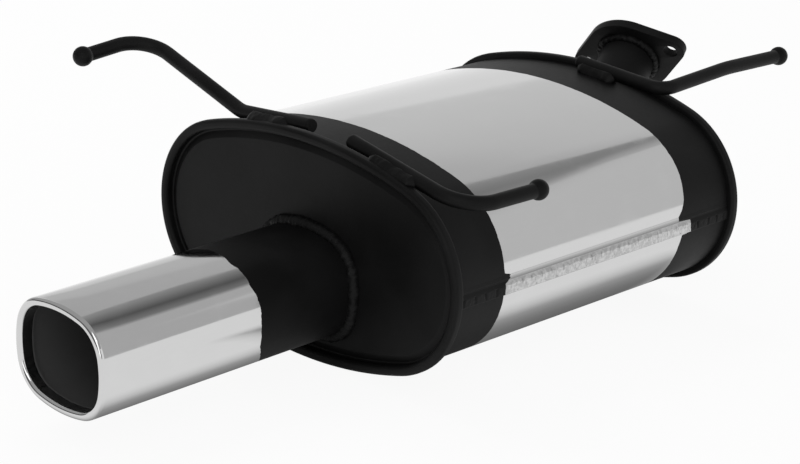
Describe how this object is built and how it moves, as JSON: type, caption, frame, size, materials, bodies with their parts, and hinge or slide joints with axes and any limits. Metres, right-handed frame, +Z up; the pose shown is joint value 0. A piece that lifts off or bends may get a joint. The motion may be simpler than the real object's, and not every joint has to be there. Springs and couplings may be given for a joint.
{
  "type": "axle-back exhaust silencer",
  "caption": "Axle-back exhaust: oval silencer with lock-seamed shell and rolled rims, rounded-square tailpipe, bent inlet pipe with bolted flange, and welded hanger rods with upset heads",
  "frame": {"origin": "centre of the inlet flange's mating face", "axes": "+Y along the silencer from the tailpipe end to the inlet end, +Z up as the exhaust hangs, +X to the side with the lock seam"},
  "size_m": [0.3903, 0.7563, 0.2233],
  "materials": {
    "black_paint": "satin black heat-resistant paint",
    "polished_steel": "bright rolled stainless sheet, fine draw lines",
    "inner_steel": "plain aluminised sheet",
    "steel_wool": "loose steel wool",
    "packing_wool": "glass fibre packing"
  },
  "bodies": {
    "root": {"outer_shell": "polished_steel", "front_end_cap": "black_paint", "rear_end_cap": "black_paint", "tailpipe": "polished_steel", "tailpipe_weld": "black_paint", "outlet_adapter": "inner_steel", "outlet_core_tube": "inner_steel", "inlet_pipe": "black_paint", "inlet_weld": "black_paint", "inlet_flange": "black_paint", "flange_weld": "black_paint", "inlet_core_tube": "inner_steel", "front_baffle": "inner_steel", "rear_baffle": "inner_steel", "steel_wool_wraps": "steel_wool", "sound_packing": "packing_wool", "hanger_front_left": "black_paint", "hanger_front_right": "black_paint", "hanger_rear": "black_paint", "weld_front_left": "black_paint", "weld_front_right": "black_paint", "weld_rear": "black_paint"}
  },
  "joints": []
}
